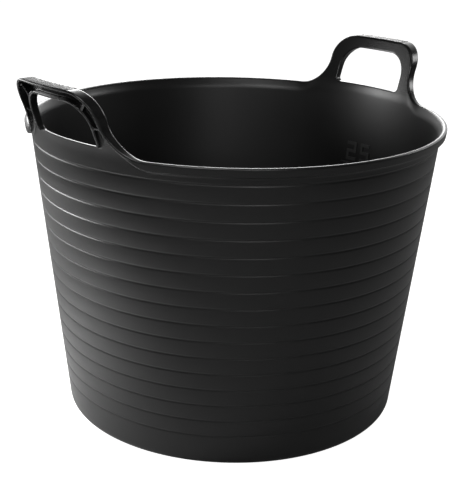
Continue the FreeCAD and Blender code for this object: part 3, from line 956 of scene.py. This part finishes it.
@dataclass
class Rim:
    """Lip and handles, meshed in stretches from one rule."""

    rule: RimRule
    material: bpy.types.Material
    joints: list
    handle_turn: float = math.radians(30.0)
    fine: float = 0.9 * MM
    lip_turn_step: float = math.radians(1.2)
    flex_from: float = 7.0 * MM
    flex_to: float = 30.0 * MM
    inward: float = 18.0 * MM
    margin: float = 3.0 * MM
    handle_reach: float = 28.0 * MM
    sharp_angle: float = math.radians(50.0)
    made: list = field(default_factory=list)

    def stretch(self, name: str, turns: np.ndarray, top: float, reach: float) -> bpy.types.Object:
        """Mesh the rim between two turns.

        Args:
            name: The piece's name.
            turns: The turns at which the field is read, the first and last being its ends.
            top: Highest rise that the stretch reaches.
            reach: Largest radius that it reaches.

        Returns:
            The object, in place.
        """
        radii = np.arange(self.rule.rim_radius - self.inward, reach, self.fine)
        rises = np.arange(self.rule.foot_rise, top, self.fine)
        points, faces = Skinner(self.rule, turns, radii, rises).skin()
        points[:, 2] += self.rule.rim_height
        obj = piece(name, points, faces, self.material)
        face_outwards(obj.data)
        smooth_but_edges(obj.data, self.sharp_angle)
        return obj

    def lip(self, name: str, node: str, middle: float) -> None:
        """Make a plain arc of lip, which stands still.

        Args:
            name: The piece's name.
            node: The frame's node that it stands in for.
            middle: The turn at its middle.
        """
        half = math.pi / 2 - self.handle_turn
        count = int(2 * half / self.lip_turn_step)
        turns = middle + np.linspace(-half, half, count)
        obj = self.stretch(name, turns, self.margin, self.rule.rim_radius + self.margin)
        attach(obj, "tub")
        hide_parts(node)
        self.made.append(obj)

    def handle(self, side: Side) -> None:
        """Make a stretch of rim with a handle.

        Args:
            side: Which handle.
        """
        arc = self.handle_turn * self.rule.rim_radius
        turns = side.value + np.linspace(-self.handle_turn, self.handle_turn, int(2 * arc / self.fine))
        top = self.rule.top_rise + self.margin
        reach = self.rule.rim_radius + self.handle_reach
        obj = self.stretch(f"{side.label}_handle_skin", turns, top, reach)
        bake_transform(obj)
        parts = ["saddle", "riser_left", "riser_right", "web", "outer_flange", "inner_flange"]
        parts += [f"{kind}_rib_{hand}" for kind in ("corner", "leg") for hand in ("left", "right")]
        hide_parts(*[f"{side.label}_{part}" for part in parts])
        self.made.append(obj)

    def build(self) -> list:
        """Make the four stretches.

        Returns:
            Their objects.
        """
        self.lip("lip_rear", "rear_lip", math.pi / 2)
        self.lip("lip_front", "front_lip", -math.pi / 2)
        for side in Side:
            self.handle(side)
        return self.made


@dataclass
class GripPad:
    """Pebbled pad on the top of a grip, over the CAD pad's own place."""

    side: Side
    material: bpy.types.Material
    edge: float = 0.25 * MM
    spacing: float = 1.3 * MM
    pebble: float = 0.8 * MM
    flatness: float = 0.3
    seed: int = 11
    grip_depth: float = 13.0 * MM
    edge_rise: float = 0.2 * MM
    top_rise: float = 0.35 * MM
    side_steps: int = 25
    sharp_angle: float = math.radians(35.0)

    def build(self) -> bpy.types.Object:
        """Lay the pad's slab on the grip and strew pebbles over it.

        Returns:
            The pad.
        """
        node = f"{self.side.label}_grip_pad"
        low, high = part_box(node)
        flip = -1.0 if self.side is Side.PLAIN else 1.0
        outer = max(abs(low.x), abs(high.x))
        half = high.y
        depth = self.grip_depth - 2 * self.edge
        rows = []
        layers = ((0.0, low.z), (0.0, low.z + self.edge_rise), (self.edge, low.z + self.top_rise))
        for inset, height in layers:
            rows.append(self.ring(outer, depth, half, inset, height))
        points = [(flip * x, flip * y, z) for row in rows for x, y, z in row]
        count = len(rows[0])
        faces = [tuple(range(count))[::-1], tuple(range(2 * count, 3 * count))]
        for layer in range(2):
            for step in range(count):
                after = (step + 1) % count
                base = layer * count
                faces.append((base + step, base + after, base + count + after, base + count + step))
        obj = piece(f"{self.side.label}_pad", np.array(points), faces, self.material)
        face_outwards(obj.data)
        run_geometry_tree(obj, pebble_tree(), {
            "Spacing": self.spacing, "Pebble Radius": self.pebble, "Pebble Height": self.flatness,
            "Seed": self.seed, "Material": self.material,
        })
        smooth_but_edges(obj.data, self.sharp_angle)
        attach(obj, f"{self.side.label}_handle")
        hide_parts(node)
        return obj

    def ring(self, outer: float, depth: float, half: float, inset: float, height: float) -> list:
        """Outline of the pad at one height, following the grip's curve.

        Args:
            outer: Radius of its outer edge.
            depth: Its depth from edge to edge.
            half: Half its length.
            inset: How far it is drawn in all round.
            height: Where it lies.

        Returns:
            Points in order round the outline.
        """
        steps = np.linspace(-1.0, 1.0, self.side_steps)
        far = [(outer - inset, across * (half - inset)) for across in steps]
        near = [(outer - depth + inset, across * (half - inset)) for across in steps[::-1]]
        return [(math.sqrt(radius * radius - y * y), y, height) for radius, y in far + near]


@dataclass
class LitreMark:
    """Raised figures and level line inside the wall, kept as they come in the frame, dressed in a lighter
    finish that paints a highlight on them.
    """

    nodes: dict
    material: bpy.types.Material
    names: tuple[str, ...] = ("figure_two", "figure_five", "level_line")

    def dress(self) -> list[str]:
        """Put the finish on each node.

        Returns:
            The names of the nodes that were dressed.
        """
        for name in self.names:
            node = self.nodes[name]
            node.data.materials.clear()
            node.data.materials.append(self.material)
        return list(self.names)


@dataclass(frozen=True)
class Lamp:
    """Soft square light.

    Attributes:
        name: Its name.
        turn: Degrees round from the camera's side, positive to the camera's right.
        distance: From the tub's axis.
        height: Above the floor.
        size: Its side.
        power: In watts.
        aim: Distance from the axis, on the same side, and height of the place it faces.
    """

    name: str
    turn: float
    distance: float
    height: float
    size: float
    power: float
    aim: tuple[float, float] = (0.0, 0.16)

    def hang(self, azimuth: float) -> None:
        """Add the light to the scene.

        Args:
            azimuth: Which way the camera stands, in radians.
        """
        data = bpy.data.lights.new(self.name, "AREA")
        data.shape = "SQUARE"
        data.size = self.size
        data.energy = self.power
        way = azimuth + math.radians(self.turn)
        outward = Vector((math.sin(way), -math.cos(way), 0.0))
        lamp = bpy.data.objects.new(self.name, data)
        lamp.location = outward * self.distance + Vector((0.0, 0.0, self.height))
        target = outward * self.aim[0] + Vector((0.0, 0.0, self.aim[1]))
        lamp.rotation_euler = (target - lamp.location).to_track_quat("-Z", "Y").to_euler()
        bpy.context.scene.collection.objects.link(lamp)


@dataclass
class Studio:
    """Pale floor, soft lights and the camera."""

    rule: RimRule
    azimuth: float = math.radians(-43.7)
    pitch: float = 0.3356
    roll: float = 0.0233
    distance: float = 5.2254
    height: float = 1.1361
    lens: float = 79.84
    floor_reach: float = 8.0
    floor_grey: float = 0.35
    glow_from: float = 0.45
    least_glow: float = 0.03
    most_glow: float = 2.0
    lamps: tuple[Lamp, ...] = (
        Lamp("left_pool", -76.0, 0.37, 0.26, 0.18, 3.0, aim=(0.35, 0.0)),
        Lamp("right", 108.0, 1.2, 0.75, 0.35, 3.0, aim=(0.0, 0.34)),
        Lamp("edge", -112.0, 0.9, 0.35, 0.35, 2.4),
        Lamp("pool", -20.0, 0.8, 0.8, 0.4, 3.0, aim=(0.35, 0.0)),
        Lamp("back", 180.0, 1.6, 0.92, 0.8, 14.0, aim=(0.0, 0.35)),
        Lamp("over", -10.0, 0.5, 1.5, 0.6, 2.0, aim=(-0.2, 0.3)),
        Lamp("front", 12.0, 1.5, 0.78, 0.4, 3.0, aim=(-0.2, 0.34)),
        Lamp("grip", -98.0, 1.05, 0.455, 0.3, 2.5, aim=(0.0, 0.345)),
    )

    def camera(self) -> None:
        """Place the camera to look past the near handle at the far one."""
        radius = self.rule.rim_radius
        back = Vector((math.sin(self.azimuth), -math.cos(self.azimuth), 0.0))
        spot = back * (self.distance * radius)
        spot.z = self.rule.rim_height + self.height * radius
        ahead = -back * math.cos(self.pitch) - Vector((0.0, 0.0, math.sin(self.pitch)))
        level = ahead.cross(Vector((0.0, 0.0, 1.0))).normalized()
        upright = level.cross(ahead)
        right = level * math.cos(self.roll) + upright * math.sin(self.roll)
        up = upright * math.cos(self.roll) - level * math.sin(self.roll)
        data = bpy.data.cameras.new("camera")
        data.lens = self.lens
        data.sensor_width = 36.0
        data.sensor_fit = "AUTO"
        camera = bpy.data.objects.new("camera", data)
        camera.matrix_world = Matrix((
            (right.x, up.x, -ahead.x, spot.x),
            (right.y, up.y, -ahead.y, spot.y),
            (right.z, up.z, -ahead.z, spot.z),
            (0.0, 0.0, 0.0, 1.0),
        ))
        bpy.context.scene.collection.objects.link(camera)
        bpy.context.scene.camera = camera

    def floor(self) -> None:
        """Plain pale floor."""
        reach, grey = self.floor_reach, self.floor_grey
        points = np.array([(-reach, -reach, 0), (reach, -reach, 0), (reach, reach, 0), (-reach, reach, 0)])
        material = bpy.data.materials.new("pale_floor")
        material.use_nodes = True
        tree = Tree(material.node_tree)
        tree.tree.nodes.clear()
        seen = tree.node("ShaderNodeLightPath").outputs["Is Camera Ray"]
        body = tree.node("ShaderNodeBsdfDiffuse", {"Color": (grey, grey, grey, 1.0)})
        white = tree.node("ShaderNodeEmission", {"Color": (1.0, 1.0, 1.0, 1.0), "Strength": 1.0})
        both = tree.node("ShaderNodeAddShader", {0: body.outputs[0], 1: white.outputs[0]})
        shown = tree.node("ShaderNodeMixShader", {0: seen, 1: body.outputs[0], 2: both.outputs[0]})
        tree.node("ShaderNodeOutputMaterial", {"Surface": shown.outputs[0]})
        piece("floor", points, [(0, 1, 2, 3)], material)

    def surroundings(self) -> None:
        """White behind the tub, dimmer towards the camera."""
        world = bpy.data.worlds.new("studio")
        bpy.context.scene.world = world
        world.use_nodes = True
        tree = Tree(world.node_tree)
        tree.tree.nodes.clear()
        way = tree.node("ShaderNodeTexCoord").outputs["Generated"]
        back = (-math.sin(self.azimuth), math.cos(self.azimuth), 0.0)
        facing = tree.node("ShaderNodeVectorMath", {0: way, 1: back}, operation="DOT_PRODUCT")
        glow = tree.node("ShaderNodeMapRange", {
            "Value": facing.outputs["Value"], "From Min": self.glow_from, "From Max": 1.0,
            "To Min": self.least_glow, "To Max": self.most_glow,
        })
        seen = tree.node("ShaderNodeLightPath").outputs["Is Camera Ray"]
        bright = tree.math("MAXIMUM", glow.outputs[0], seen)
        light = tree.node("ShaderNodeBackground", {"Color": (1.0, 1.0, 1.0, 1.0), "Strength": bright})
        tree.node("ShaderNodeOutputWorld", {"Surface": light.outputs[0]})

    def build(self) -> None:
        """Set the whole studio up."""
        self.camera()
        self.floor()
        self.surroundings()
        for lamp in self.lamps:
            lamp.hang(self.azimuth)
        bpy.context.scene.view_settings.view_transform = "Standard"


def main() -> None:
    """Build every piece round the frame, then the studio."""
    logging.basicConfig(level=logging.INFO, format="%(name)s: %(message)s")
    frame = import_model()
    finishes = Finishes()
    lip_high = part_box("rear_lip")[1]
    rule = RimRule(rim_height=lip_high.z, rim_radius=lip_high.y)
    floor_low, floor_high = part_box("base_floor")
    lift = floor_low.z + Pot.gate_drop
    pot = Pot(rule, floor_high.z, lift, floor_high.x, finishes.wall.material()).build()
    LOG.info("%s: %d faces", pot.name, len(pot.data.polygons))
    for made in Rim(rule, finishes.rim.material(), frame["joints"]).build():
        LOG.info("%s: %d faces", made.name, len(made.data.polygons))
    grip = finishes.grip.material()
    for side in Side:
        pad = GripPad(side, grip).build()
        LOG.info("%s: %d faces", pad.name, len(pad.data.polygons))
    # The raised figures get a finish lighter than the wall's: a painted highlight.
    for name in LitreMark(frame["nodes"], finishes.mark.material()).dress():
        LOG.info("%s dressed", name)
    Studio(rule).build()


if __name__ == "__main__":
    main()
